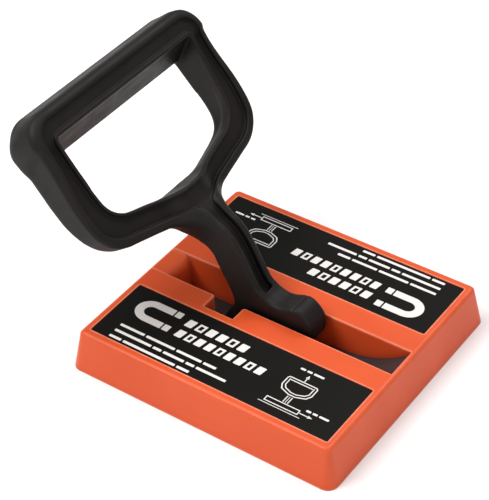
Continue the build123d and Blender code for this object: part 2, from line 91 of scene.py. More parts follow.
def srgb(*channels):
    """Linear colour from 0-255 sRGB channels."""
    def linear(c):
        c /= 255.0
        return c / 12.92 if c <= 0.04045 else ((c + 0.055) / 1.055) ** 2.4
    return tuple(linear(c) for c in channels)


class Material:
    """A procedural material in object coordinates, around one Principled shader."""

    def __init__(self, name):
        self.data = bpy.data.materials.new(name)
        self.data.use_nodes = True
        self.tree = self.data.node_tree
        self.tree.nodes.clear()
        output = self.node("ShaderNodeOutputMaterial")
        self.shader = self.node("ShaderNodeBsdfPrincipled")
        self.link(self.shader.outputs[0], output.inputs["Surface"])
        self.coords = self.node("ShaderNodeTexCoord").outputs["Object"]

    def node(self, kind, **properties):
        node = self.tree.nodes.new(kind)
        for key, value in properties.items():
            setattr(node, key, value)
        return node

    def link(self, source, target):
        self.tree.links.new(source, target)

    def feed(self, target, value):
        """Link a socket to the target, or store a plain value in it."""
        if isinstance(value, (int, float, tuple)):
            target.default_value = value
        else:
            self.link(value, target)

    def surface(self, **values):
        for key, value in values.items():
            self.feed(self.shader.inputs[SOCKETS[key]], value)
        return self.data

    def noise(self, scale, detail=4.0, rough=0.55, stretch=None, distortion=0.0):
        source = self.coords
        if stretch:
            mapping = self.node("ShaderNodeMapping")
            mapping.inputs["Scale"].default_value = stretch
            self.link(source, mapping.inputs["Vector"])
            source = mapping.outputs[0]
        texture = self.node("ShaderNodeTexNoise")
        texture.inputs["Scale"].default_value = scale
        texture.inputs["Detail"].default_value = detail
        texture.inputs["Roughness"].default_value = rough
        texture.inputs["Distortion"].default_value = distortion
        self.link(source, texture.inputs["Vector"])
        return texture.outputs["Fac"]

    def cells(self, scale):
        texture = self.node("ShaderNodeTexVoronoi")
        texture.inputs["Scale"].default_value = scale
        self.link(self.coords, texture.inputs["Vector"])
        return texture.outputs["Distance"]

    def remap(self, value, to=(0.0, 1.0), band=(0.3, 0.7)):
        """Map the band of input values onto the range `to`."""
        node = self.node("ShaderNodeMapRange")
        for key, number in zip(("From Min", "From Max", "To Min", "To Max"), (*band, *to)):
            node.inputs[key].default_value = number
        self.link(value, node.inputs["Value"])
        return node.outputs["Result"]

    def mottle(self, to=(0.0, 1.0), band=(0.3, 0.7), **noise):
        return self.remap(self.noise(**noise), to, band)

    def multiply(self, first, second):
        node = self.node("ShaderNodeMath", operation="MULTIPLY")
        self.feed(node.inputs[0], first)
        self.feed(node.inputs[1], second)
        return node.outputs[0]

    def mix(self, factor, first, second):
        """Blend two colours, each a linear RGB tuple or a socket."""
        node = self.node("ShaderNodeMix", data_type="RGBA")
        self.link(factor, node.inputs[0])
        for key, color in ((6, first), (7, second)):
            self.feed(node.inputs[key], (*color, 1.0) if isinstance(color, tuple) else color)
        return node.outputs[2]

    def convex(self, band):
        """1 on convex edges, 0 elsewhere."""
        geometry = self.node("ShaderNodeNewGeometry")
        return self.remap(geometry.outputs["Pointiness"], band=band)

    def openness(self, distance, band):
        """0 deep in a recess, 1 in the open."""
        occlusion = self.node("ShaderNodeAmbientOcclusion", samples=6)
        occlusion.inputs["Distance"].default_value = distance
        return self.remap(occlusion.outputs["AO"], band=band)

    def crisp(self, radius):
        """1 along sharp or tightly rounded edges, from the turn of the normal nearby."""
        bevel = self.node("ShaderNodeBevel", samples=6)
        bevel.inputs["Radius"].default_value = radius
        geometry = self.node("ShaderNodeNewGeometry")
        dot = self.node("ShaderNodeVectorMath", operation="DOT_PRODUCT")
        self.link(bevel.outputs[0], dot.inputs[0])
        self.link(geometry.outputs["True Normal"], dot.inputs[1])
        return self.remap(dot.outputs["Value"], band=(0.995, 0.90))

    def bump(self, height, strength, distance, under=None):
        node = self.node("ShaderNodeBump")
        node.inputs["Strength"].default_value = strength
        node.inputs["Distance"].default_value = distance
        self.link(height, node.inputs["Height"])
        if under is not None:
            self.link(under, node.inputs["Normal"])
        return node.outputs[0]


# =====================================================================
# Materials
# =====================================================================
def orange_plastic():
    m = Material("orange_moulded_plastic")
    flow = m.mottle(scale=16.0, detail=3.0, rough=0.5, stretch=(1.0, 2.2, 1.0), distortion=0.6)
    color = m.mix(flow, srgb(213, 80, 36), srgb(221, 88, 42))
    # painted highlight: pale colour along the tightly rounded edges, broken into patches and held
    # back in recesses; painted shade deepens the recesses
    open_air = m.openness(distance=0.004, band=(0.45, 0.9))
    patches = m.mottle(scale=220.0, detail=5.0, rough=0.65, band=(0.35, 0.65), to=(0.55, 1.0))
    # painted highlight on the edges, not wear
    paler_mark = m.multiply(m.multiply(m.crisp(radius=0.0017), patches), open_air)
    color = m.mix(m.multiply(paler_mark, 0.88), color, srgb(255, 178, 146))
    # painted shade: the colour turns deeper red deep in recesses
    recess = m.remap(open_air, band=(0.0, 1.0), to=(0.45, 0.0))
    color = m.mix(recess, color, srgb(150, 34, 16))
    waves = m.bump(m.noise(scale=95.0, detail=2.0, rough=0.4), strength=0.10, distance=0.0004)
    grain = m.noise(scale=5200.0, detail=2.0, rough=0.5)
    return m.surface(
        color=color,
        roughness=m.mottle(scale=60.0, rough=0.6, to=(0.33, 0.43)),
        specular=0.28,
        normal=m.bump(grain, strength=0.10, distance=0.00006, under=waves),
        scatter=0.06,
        scatter_radius=(0.004, 0.0012, 0.0006),
        scatter_scale=1.0,
    )


def lever_nylon():
    m = Material("black_nylon_lever")
    base = m.mottle(scale=38.0, detail=5.0, rough=0.6, distortion=0.4)
    color = m.mix(base, srgb(27, 24, 23), srgb(35, 31, 29))
    patches = m.mottle(scale=420.0, detail=5.0, rough=0.7, band=(0.45, 0.7), to=(0.2, 1.0))
    wear = m.multiply(m.convex(band=(0.53, 0.66)), patches)
    color = m.mix(m.multiply(wear, 0.45), color, srgb(74, 68, 66))
    # painted shade: the colour goes near black deep in recesses and grooves, and is less specular
    # there
    open_air = m.openness(distance=0.007, band=(0.35, 0.95))
    color = m.mix(open_air, srgb(12, 10, 10), color)
    # spark-eroded mould texture: fine rounded pits
    pits = m.bump(m.remap(m.cells(scale=1900.0), band=(0.0, 0.7)), strength=0.22, distance=0.00010)
    fine = m.noise(scale=4200.0, detail=3.0, rough=0.6)
    return m.surface(
        color=color,
        roughness=m.mottle(scale=120.0, rough=0.6, to=(0.44, 0.56)),
        specular=m.remap(open_air, band=(0.0, 1.0), to=(0.05, 0.17)),
        normal=m.bump(fine, strength=0.14, distance=0.00006, under=pits),
    )


def plate_plastic():
    m = Material("black_plate_plastic")
    base = m.mottle(scale=30.0, detail=5.0, rough=0.6)
    color = m.mix(base, srgb(37, 35, 36), srgb(50, 45, 45))
    scuff = m.mottle(scale=60.0, detail=8.0, rough=0.75, stretch=(1.0, 14.0, 1.0),
                     band=(0.60, 0.74))
    grain = m.noise(scale=3600.0, detail=3.0, rough=0.6)
    return m.surface(
        color=m.mix(m.multiply(scuff, 0.35), color, srgb(112, 106, 104)),
        roughness=m.mottle(scale=90.0, detail=3.0, to=(0.42, 0.56)),
        normal=m.bump(grain, strength=0.20, distance=0.0001),
    )


def label_film():
    m = Material("black_label_film")
    color = m.mix(m.mottle(scale=24.0, rough=0.6), srgb(15, 14, 13), srgb(19, 18, 16))
    paler_mark = m.mottle(scale=46.0, detail=8.0, rough=0.75, stretch=(1.0, 7.0, 1.0), band=(0.64, 0.76))
    orange_peel = m.noise(scale=900.0, detail=2.0, rough=0.5)
    return m.surface(
        color=m.mix(m.multiply(paler_mark, 0.16), color, srgb(96, 92, 90)),
        roughness=m.mottle(scale=70.0, rough=0.6, to=(0.34, 0.46)),
        specular=0.10,
        normal=m.bump(orange_peel, strength=0.10, distance=0.00008),
    )


def print_ink(name, color):
    m = Material(name)
    worn = tuple(c * 0.80 for c in color)
    specks = m.mottle(scale=900.0, rough=0.6, band=(0.35, 0.75))
    return m.surface(
        color=m.mix(m.multiply(specks, 0.5), color, worn),
        roughness=m.mottle(scale=300.0, detail=3.0, to=(0.42, 0.55)),
        normal=m.bump(m.noise(scale=2600.0, detail=2.0), strength=0.10, distance=0.00005),
    )


def brushed_metal(name, tone, roughness, grain, rust=0.0):
    """Streaked metal; grain stretches the streaks, rust is the strength of the rust spots."""
    m = Material(name)
    streak = m.noise(scale=24.0, detail=6.0, rough=0.6, stretch=grain)
    dark = tuple(c * 0.80 for c in tone)
    light = tuple(min(1.0, c * 1.15) for c in tone)
    color = m.mix(m.remap(streak), dark, light)
    if rust:
        spots = m.mottle(scale=150.0, detail=6.0, rough=0.7, band=(0.62, 0.72), to=(0.0, rust))
        color = m.mix(spots, color, srgb(112, 66, 40))
    return m.surface(
        color=color,
        metallic=1.0,
        roughness=m.remap(streak, to=(roughness - 0.06, roughness + 0.08)),
        normal=m.bump(streak, strength=0.25, distance=0.00008),
    )


def nickel_plating():
    m = Material("nickel_plated_magnet")
    base = m.mottle(scale=60.0, detail=5.0, rough=0.6)
    return m.surface(
        color=m.mix(base, srgb(150, 148, 142), srgb(176, 173, 166)),
        metallic=1.0,
        roughness=m.mottle(scale=240.0, to=(0.26, 0.38)),
        normal=m.bump(m.noise(scale=1400.0, detail=3.0), strength=0.12, distance=0.00006),
    )


def sintered_bronze():
    m = Material("sintered_bronze")
    pores = m.remap(m.cells(scale=2600.0), band=(0.0, 0.45))
    return m.surface(
        color=m.mix(pores, srgb(92, 62, 30), srgb(186, 138, 78)),
        metallic=1.0,
        roughness=m.remap(pores, band=(0.0, 1.0), to=(0.6, 0.34)),
        normal=m.bump(pores, strength=0.3, distance=0.00006),
    )


def natural_nylon():
    m = Material("natural_nylon")
    return m.surface(
        color=m.mix(m.mottle(scale=200.0), srgb(206, 200, 184), srgb(222, 217, 204)),
        roughness=m.mottle(scale=400.0, detail=3.0, to=(0.38, 0.5)),
        normal=m.bump(m.noise(scale=1800.0, detail=2.0), strength=0.12, distance=0.00006),
    )


ORANGE = orange_plastic()
LEVER = lever_nylon()
PLATE = plate_plastic()
FILM = label_film()
INK_WHITE = print_ink("print_ink_white", srgb(236, 230, 226))
INK_GREY = print_ink("print_ink_grey", srgb(214, 208, 203))
POLE = brushed_metal("ground_pole_steel", tone=srgb(168, 168, 170), roughness=0.34,
                     grain=(1.0, 70.0, 70.0), rust=0.12)
ZINC = brushed_metal("zinc_plated_steel", tone=srgb(186, 188, 190), roughness=0.30,
                     grain=(30.0, 30.0, 30.0))
BLACK_STEEL = brushed_metal("black_oxide_steel", tone=srgb(52, 52, 56), roughness=0.34,
                            grain=(40.0, 2.0, 40.0))
PIN = brushed_metal("ground_pin_steel", tone=srgb(178, 178, 180), roughness=0.24,
                    grain=(40.0, 3.0, 40.0))
ALUMINIUM = brushed_metal("milled_aluminium", tone=srgb(198, 199, 202), roughness=0.32,
                          grain=(2.0, 40.0, 40.0))
MAGNET = nickel_plating()
BRONZE = sintered_bronze()
NYLON = natural_nylon()

# piece name pattern, material: the first match counts, any other piece is lever plastic
FINISHES = (
    ("housing_shell", ORANGE),
    ("bottom_plate", PLATE),
    ("label_*", FILM),
    ("magnets_*", MAGNET),
    ("pole_bar_*", POLE),
    ("plate_screws", ZINC),
    ("pivot_block_screws", ZINC),
    ("pack_tie_rods*", ZINC),
    ("pivot_block_*", ALUMINIUM),
    ("thrust_washer*", NYLON),
    ("lever_bush", BRONZE),
    ("heel_bar", BLACK_STEEL),
    ("pivot_pin", PIN),
    ("heel_bar_pin", PIN),
    ("*", LEVER),
)

for name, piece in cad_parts.items():
    finish = next(material for pattern, material in FINISHES if fnmatchcase(name, pattern))
    if len(piece.material_slots) == 0:
        piece.data.materials.append(finish)
    for slot in piece.material_slots:
        slot.material = finish


# =====================================================================
# Curves and signed distances (negative inside)
# =====================================================================
def spline(points, steps):
    """Centripetal Catmull-Rom curve through the points, with `steps` points per span."""
    def between(p, q, start, end, t):
        return (end - t) / (end - start) * p + (t - start) / (end - start) * q

    P = np.array(points, float)
    P = np.vstack([2 * P[0] - P[1], P, 2 * P[-1] - P[-2]])
    curve = []
    for i in range(1, len(P) - 2):
        p0, p1, p2, p3 = P[i - 1:i + 3]
        t1 = max(np.linalg.norm(p1 - p0), 1e-6) ** 0.5
        t2 = t1 + max(np.linalg.norm(p2 - p1), 1e-6) ** 0.5
        t3 = t2 + max(np.linalg.norm(p3 - p2), 1e-6) ** 0.5
        for t in np.linspace(t1, t2, steps, endpoint=False):
            a1 = between(p0, p1, 0, t1, t)
            a2 = between(p1, p2, t1, t2, t)
            a3 = between(p2, p3, t2, t3, t)
            b1 = between(a1, a2, 0, t2, t)
            b2 = between(a2, a3, t1, t3, t)
            curve.append(between(b1, b2, t1, t2, t))
    curve.append(P[-2])
    return [tuple(p) for p in curve]


def arc(center_x, center_y, radius, start, end, count):
    """Points on an arc, angles in degrees."""
    return [(center_x + radius * math.cos(math.radians(angle)),
             center_y + radius * math.sin(math.radians(angle)))
            for angle in np.linspace(start, end, count)]


def segments(path):
    for (ax, ay), (bx, by) in zip(path, path[1:]):
        if (bx - ax) ** 2 + (by - ay) ** 2 >= 1e-12:
            yield ax, ay, bx, by


def path_distance(x, y, path):
    nearest = np.full(x.shape, 1e9, np.float64)
    for ax, ay, bx, by in segments(path):
        dx, dy = bx - ax, by - ay
        t = np.clip(((x - ax) * dx + (y - ay) * dy) / (dx * dx + dy * dy), 0, 1)
        nearest = np.minimum(nearest, (x - ax - t * dx) ** 2 + (y - ay - t * dy) ** 2)
    return np.sqrt(nearest)


def outline_distance(x, y, outline):
    """Signed distance from a closed outline."""
    ring = outline + outline[:1]
    inside = np.zeros(x.shape, bool)
    for ax, ay, bx, by in segments(ring):
        crosses = (ay > y) != (by > y)
        if crosses.any():
            inside ^= crosses & (x < ax + (y - ay) / (by - ay) * (bx - ax))
    distance = path_distance(x, y, ring)
    return np.where(inside, -distance, distance).astype(np.float32)


def circle_distance(x, y, center_x, center_y, radius):
    return np.sqrt((x - center_x) ** 2 + (y - center_y) ** 2).astype(np.float32)[None] - radius


def intersect(a, b, fillet):
    """Intersection with a circular fillet."""
    u = np.maximum(a + fillet, 0)
    v = np.maximum(b + fillet, 0)
    return np.minimum(-fillet, np.maximum(a, b)) + np.sqrt(u * u + v * v)


def join(a, b, fillet):
    return -intersect(-a, -b, fillet)


def cut(a, tool, fillet):
    return intersect(a, -tool, fillet)


def ramp(value, start, length):
    """0 up to the start, rising to 1 over the length."""
    return np.clip((value - start) / length, 0, 1)


def table_value(value, table):
    return np.interp(value, *zip(*table)).astype(np.float32)


# =====================================================================
# Lever moulding, in mm: a D-shaped frame on a curved stem
# The frame lies in a tilted plane: `up` runs up the D, towards -X; `out` is square to its
# front face, towards +X, and is 0 on that face.
# =====================================================================
VOXEL = 0.45
LOW_X, HIGH_X = -101.0, 24.0
LOW_Z, HIGH_Z = -2.5, 127.0
HIGH_Y = 61.0

TILT = math.radians(36.2)
TILT_SIN, TILT_COS = math.sin(TILT), math.cos(TILT)
GRIP_X, GRIP_Z = -54.36, 79.44      # where up = out = 0
STEM_HALF_WIDTH = 6.55
STEM_GROW = 0.15                    # skin added round the stem outline

BUSH_BORE = (7.7, 11.2, 5.02)       # x, z, radius
HEEL_BORE = (-20.5, 5.3, 3.32)
CREASE = (11.1, 29.75, 0.75)
PIN_HOLE_RADIUS = 1.27
PIN_HOLE_TOP = 13.0


def on_grip(up, out):
    """(x, z) of a point in the tilted plane."""
    return (GRIP_X - up * TILT_SIN + out * TILT_COS, GRIP_Z + up * TILT_COS + out * TILT_SIN)


def mirrored(half):
    """Closed outline from its half at y >= 0, which starts and ends on y = 0."""
    return half + [(-y, up) for y, up in reversed(half[1:-1])]


# rim of the D and its hand opening: (y, up)
OUTER = mirrored(
    [(0, 54.1)] + arc(44.95, 41.2, 12.9, 90, 0, 16) +
    spline([(57.85, 41.2), (57.45, 37.0), (57.3, 32.8), (57.8, 24.0), (58.6, 15.0), (58.65, 7.5),
            (58.1, 1.0), (56.9, -4.2), (54.8, -8.0), (52.1, -11.0), (48.1, -13.9), (43.7, -15.7),
            (40.2, -16.5), (32.1, -18.4), (25.0, -20.1), (12.0, -23.4), (0, -26.4)], 5))
INNER = mirrored(
    [(0, 41.3)] + arc(45.2, 39.9, 1.4, 90, 0, 8) +
    spline([(46.5, 39.3), (46.3, 32.0), (45.9, 23.5), (45.0, 11.5), (43.9, 5.4), (41.6, 1.3),
            (37.4, -2.0), (31.0, -4.2), (24.0, -5.9), (11.0, -9.4), (0, -10.7)], 6))

# grip bar section, (up, out): slanted palm side towards the opening, full round back
BAR = ([(52.4, -2.0), (41.3, -0.3), (36.8, -8.1)] +
       spline([(32.15, -15.6), (31.95, -17.6), (34.0, -19.9), (38.6, -21.5), (43.4, -21.1),
               (47.7, -18.5), (51.05, -14.2), (53.15, -9.0), (53.7, -5.0)], 8))

# depth of the D behind its front face: (up, depth)
DEPTHS = ((-30.0, 11.8), (-12.0, 11.6), (-6.0, 12.0), (-2.0, 13.0), (2.0, 14.3), (6.0, 15.4),
          (12.0, 16.3), (19.0, 17.7), (27.0, 19.3), (31.5, 20.0), (36.0, 20.6), (42.0, 20.9))
# largest fillet round the hand opening: (up, radius)
OPENING_FILLETS = ((-10.0, 5.2), (-7.0, 3.9), (-3.0, 3.0), (4.0, 2.2), (18.0, 0.9))

# side view of the stem, (x, z), in four runs that follow one another
STEM_FRONT = spline(
    [on_grip(-13.0, 0), on_grip(-16.5, 0.25), (-40.0, 63.3), (-34.6, 62.0), (-29.6, 60.3),
     (-25.2, 58.2), (-21.0, 54.6), (-17.0, 49.0), (-13.7, 42.9), (-10.4, 36.2), (-7.4, 31.4),
     (-5.0, 29.5), (-3.0, 28.2), (-0.5, 27.3), (2.5, 26.9), (5.0, 27.3), (7.5, 28.2),
     (9.9, 29.2)], 8)
NOSE = spline(
    [(9.9, 29.2), (12.6, 29.7), (14.5, 29.3), (16.6, 28.2), (18.8, 26.2), (20.5, 23.8),
     (21.3, 20.5), (21.2, 17.0), (20.3, 14.0), (18.4, 11.2), (16.5, 8.6), (12.9, 5.6), (8.0, 4.5),
     (3.5, 5.6), (-0.5, 7.2), (-6.0, 7.9), (-10.5, 6.6), (-14.6, 4.6)], 8)
HEEL = spline(
    [(-14.6, 4.6), (-16.0, 2.4), (-18.4, 0.95), (-21.1, 0.55), (-23.8, 1.2), (-25.9, 3.2),
     (-26.6, 5.8), (-26.0, 8.2)], 6)
STEM_BACK = spline(
    [(-26.0, 8.2), (-23.6, 13.0), (-21.2, 16.8), (-20.7, 20.4), (-21.9, 24.3), (-24.2, 29.0),
     (-26.9, 33.7), (-29.3, 38.5), (-31.4, 42.4), (-34.4, 44.9), (-38.8, 46.4), (-44.8, 48.6),
     on_grip(-21.0, -13.2)], 8)
STEM = STEM_FRONT[:-1] + NOSE[:-1] + HEEL[:-1] + STEM_BACK + [on_grip(-15.0, -9.0)]


def rim_and_opening(y, up):
    """Distances from OUTER and INNER, read from tables over (y, up)."""
    step = 0.25
    start = float(up.min()) - 1
    stations = np.arange(start, float(up.max()) + 1, step)
    table_y, table_up = np.meshgrid(y, stations, indexing="ij")
    position = (up[0] - start) / step
    index = np.clip(position.astype(int), 0, len(stations) - 2)
    part = (position - index).astype(np.float32)
    for outline in (OUTER, INNER):
        table = outline_distance(table_y, table_up, outline)
        yield table[:, index] * (1 - part)[None] + table[:, index + 1] * part[None]


def d_frame(side, up, out, bar, rim, opening, opening_fillet):
    """The D with its grip bar: front edges crisp, back edges full."""
    solid = intersect(rim, out, fillet=1.6 + 1.9 * ramp(up, start=0.0, length=30.0))
    # the back leans: deeper away from the opening
    depth = table_value(up, DEPTHS) + 0.13 * (np.clip(opening, 0, 11.5) - 5.7)
    solid = intersect(solid, -(out + depth), fillet=4.0 + ramp(up, start=34.0, length=6.0))
    # grip bar, trimmed just inside the rim at the front and just outside it at the back
    swell = 0.5 * ramp(-out, start=5.0, length=9.0)
    trim = np.maximum(rim + 0.3 - swell, 20.0 - up)
    solid = join(solid, intersect(bar, trim, fillet=3.6), fillet=3.0)
    solid = cut(solid, opening, opening_fillet)
    # the bar again, between the legs, where the opening has cut into it
    palm = intersect(bar, np.abs(side) - 47.5, fillet=0.5)
    return join(solid, palm, fillet=1.2)


def add_stem(solid, stem, side, z, out):
    """Join the stem, its webs flowing wider into the D higher up."""
    stem = intersect(stem - STEM_GROW, np.abs(side) - STEM_HALF_WIDTH, fillet=1.7)
    near = ramp(z, start=36.0, length=14.0)
    web = 9.5 + 3.0 * ramp(out, start=-11.0, length=7.0)
    return join(solid, stem, fillet=1.5 + near * web)


def cut_channel(solid, side, x, up, out, rim, opening, front):
    """Channel round the D and groove down the stem, cut to a depth below the skin."""
    channel = intersect(rim + 4.2, 1.9 - opening, fillet=1.2)
    channel = np.maximum(channel, -(out + 9.0))
    groove = np.maximum(np.abs(side) - 2.9, front - 4.0)
    groove = np.maximum(groove, up + 13.0)
    region = join(channel, groove, fillet=3.0)
    # deeper down the stem, then fading out before the nose
    depth = 2.1 + 0.9 * ramp(-up, start=22.0, length=8.0)
    depth = depth * (1 - ramp(x, start=-6.6, length=1.8))
    tool = intersect(region, -(solid + depth), fillet=0.6)
    return cut(solid, tool, fillet=0.55)


def lever_field(x, y, z):
    """Signed distance of the half lever at y >= 0, as an array over (y, x, z)."""
    grid_x, grid_z = np.meshgrid(x, z, indexing="ij")
    up = -(grid_x - GRIP_X) * TILT_SIN + (grid_z - GRIP_Z) * TILT_COS
    out = (grid_x - GRIP_X) * TILT_COS + (grid_z - GRIP_Z) * TILT_SIN
    bar = outline_distance(up, out, BAR)[None]
    stem = outline_distance(grid_x, grid_z, STEM)[None]
    front = path_distance(grid_x, grid_z, STEM_FRONT).astype(np.float32)[None]
    # single precision, shaped to broadcast over (y, x, z)
    up, out, across, height = (a.astype(np.float32)[None] for a in (up, out, grid_x, grid_z))
    side = y.astype(np.float32)[:, None, None]
    rim, opening = rim_and_opening(y, up)

    # the opening's edge grows rounder towards the back
    largest = table_value(up, OPENING_FILLETS)
    opening_fillet = np.clip(1.0 + (-out - 4.0) * 0.65, 1.0, largest).astype(np.float32)
    solid = d_frame(side, up, out, bar, rim, opening, opening_fillet)
    solid = add_stem(solid, stem, side, height, out)
    # clear the opening again, where the stem's blend would swell into it
    clearance = np.where((up > -10.6) & (up < 15.0), opening, np.float32(9))
    solid = cut(solid, clearance, opening_fillet)
    solid = cut_channel(solid, side, across, up, out, rim, opening, front)
    # thin crease across the root of the nose, then the two bores
    solid = cut(solid, circle_distance(grid_x, grid_z, *CREASE), fillet=0.3)
    for bore in (BUSH_BORE, HEEL_BORE):
        solid = cut(solid, circle_distance(grid_x, grid_z, *bore), fillet=0.35)
    # vertical pin hole through the heel bore
    pin = np.sqrt((across - HEEL_BORE[0]) ** 2 + side ** 2) - PIN_HOLE_RADIUS
    pin = np.maximum(pin, height - PIN_HOLE_TOP)
    return np.maximum(solid, -pin)


def lever_surface():
    """Points (mm) and quads of the lever skin."""
    def axis(low, high):
        return low + VOXEL * np.arange(int(round((high - low) / VOXEL)) + 1)

    x, y, z = axis(LOW_X, HIGH_X), axis(0.0, HIGH_Y), axis(LOW_Z, HIGH_Z)
    band = 3 * VOXEL
    half = np.clip(lever_field(x, y, z), -band, band)
    whole = np.concatenate([half[:0:-1], half], axis=0)     # mirror about y = 0
    grid = openvdb.FloatGrid(band)
    grid.copyFromArray(np.ascontiguousarray(np.transpose(whole, (1, 0, 2)).astype(np.float32)))
    points, quads = grid.convertToQuads(0.0)
    points = np.array(points, float) * VOXEL + np.array((LOW_X, -y[-1], LOW_Z))
    return points, np.array(quads, dtype=np.int64)


def taubin_smooth(points, quads, rounds, shrink, grow):
    """Smooth without losing volume: a shrinking pass, then a growing one."""
    a = np.concatenate([quads[:, i] for i in range(4)])
    b = np.concatenate([quads[:, (i + 1) % 4] for i in range(4)])
    a, b = np.concatenate([a, b]), np.concatenate([b, a])
    count = len(points)
    degree = np.bincount(a, minlength=count).astype(float)[:, None]
    for _ in range(rounds):
        for factor in (shrink, grow):
            total = np.stack([np.bincount(a, weights=points[b, k], minlength=count)
                              for k in range(3)], 1)
            points = points + factor * (total / degree - points)
    return points


def make_lever():
    points, quads = lever_surface()
    points = taubin_smooth(points, quads, rounds=3, shrink=0.5, grow=-0.52)
    mesh = bpy.data.meshes.new("lever_moulding")
    mesh.from_pydata((points * MM).tolist(), [], quads.tolist())
    mesh.update()
    mesh.validate()
    bm = bmesh.new()
    bm.from_mesh(mesh)
    if bm.calc_volume(signed=True) < 0:
        bmesh.ops.reverse_faces(bm, faces=bm.faces)
    bm.to_mesh(mesh)
    bm.free()
    mesh.materials.append(LEVER)
    mesh.shade_smooth()
    lever = add_object("lever_moulding", mesh)
    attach(lever, "lever")
    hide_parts("handle_lever")


make_lever()

# =====================================================================
# Label print: magnet icon, plain bars and a pictogram, laid out in label units
# =====================================================================
LABEL_UNIT = 1.4 * MM
FILM_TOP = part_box("label_front")[1].z
INK_BOTTOM, INK_TOP = FILM_TOP - 0.00002, FILM_TOP + 0.00005
SLANT = 0.16            # sideways lean of the header blocks
LINE = 0.34             # width of the pictogram's strokes


class Print:
    """Thin raised shapes on a label; the rear label is turned half round."""

    def __init__(self, rear):
        self.bm = bmesh.new()
        self.scale = -LABEL_UNIT if rear else LABEL_UNIT

    def ring(self, points, z):
        return [self.bm.verts.new((x * self.scale, y * self.scale, z)) for x, y in points]

    def walls(self, a, b):
        for i in range(len(a)):
            j = (i + 1) % len(a)
            self.bm.faces.new((a[i], a[j], b[j], b[i]))

    def solid(self, points):
        low, high = self.ring(points, INK_BOTTOM), self.ring(points, INK_TOP)
        self.bm.faces.new(high)
        self.bm.faces.new(list(reversed(low)))
        self.walls(low, high)

    def band(self, outer, inner):
        rings = [self.ring(loop, z) for loop, z in
                 ((outer, INK_BOTTOM), (outer, INK_TOP), (inner, INK_TOP), (inner, INK_BOTTOM))]
        for k in range(4):
            self.walls(rings[k], rings[(k + 1) % 4])

    def bar(self, x0, x1, y0, y1, radius, slant=0.0):
        r = min(radius, (x1 - x0) / 2.01, (y1 - y0) / 2.01)
        points = []
        for x, y, start in ((x1 - r, y0 + r, -90), (x1 - r, y1 - r, 0),
                            (x0 + r, y1 - r, 90), (x0 + r, y0 + r, 180)):
            points += arc(x, y, r, start, start + 90, 5)
        self.solid([(x + slant * (y - y0), y) for x, y in points])

    def dashes(self, x0, x1, y0, y1, lengths, gap):
        """A row of dashes in the given proportions that fills x0..x1."""
        free = (x1 - x0) - gap * (len(lengths) - 1)
        x = x0
        for length in lengths:
            width = free * length / sum(lengths)
            self.bar(x, x + width, y0, y1, radius=0.25)
            x += width + gap

    def stroke(self, x0, y0, x1, y1, width=LINE):
        """A straight line with square ends."""
        half = width / 2 / math.hypot(x1 - x0, y1 - y0)
        side_x, side_y = -(y1 - y0) * half, (x1 - x0) * half
        self.solid([(x0 + side_x, y0 + side_y), (x1 + side_x, y1 + side_y),
                    (x1 - side_x, y1 - side_y), (x0 - side_x, y0 - side_y)])

    def done(self, name, ink):
        bmesh.ops.recalc_face_normals(self.bm, faces=self.bm.faces)
        mesh = bpy.data.meshes.new(name)
        self.bm.to_mesh(mesh)
        self.bm.free()
        mesh.materials.append(ink)
        obj = add_object(name, mesh)
        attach(obj, "base")


def print_icon(rear, name, ink):
    """Horseshoe magnet with two separate pole tips."""
    center_x, center_y = -33.0, -23.4
    outer, inner = 4.9, 2.2
    arm_end, tip_start, tip_end = 6.2, 6.8, 9.2     # from the centre, along x

    def horseshoe(radius):
        bend = [(center_x + (x * 1.15 - 0.6), center_y + y)
                for x, y in arc(0, 0, radius, -90, -270, 25)]
        end = center_x + arm_end
        return [(end, center_y - radius)] + bend + [(end, center_y + radius)]

    p = Print(rear)
    p.solid(horseshoe(outer) + horseshoe(inner)[::-1])
    for low, high in ((inner, outer), (-outer, -inner)):
        p.bar(center_x + tip_start, center_x + tip_end, center_y + low, center_y + high,
              radius=0.2)
    p.done(name, ink)


def header_row(p, x0, x1, y0, y1, count):
    """Slanted blocks, every third one open."""
    step = (x1 - x0 + 0.9) / count
    for i in range(count):
        left = x0 + i * step
        right = left + step - 1.2

        def corners(inset):
            low, high = y0 + inset, y1 - inset
            return [(x + SLANT * (y - y0), y) for x, y in
                    ((left + inset, low), (right - inset, low),
                     (right - inset, high), (left + inset, high))]

        if i % 3 == 1:
            p.band(corners(0.0), corners(0.75))
        else:
            p.bar(left, right, y0, y1, radius=0.3, slant=SLANT)


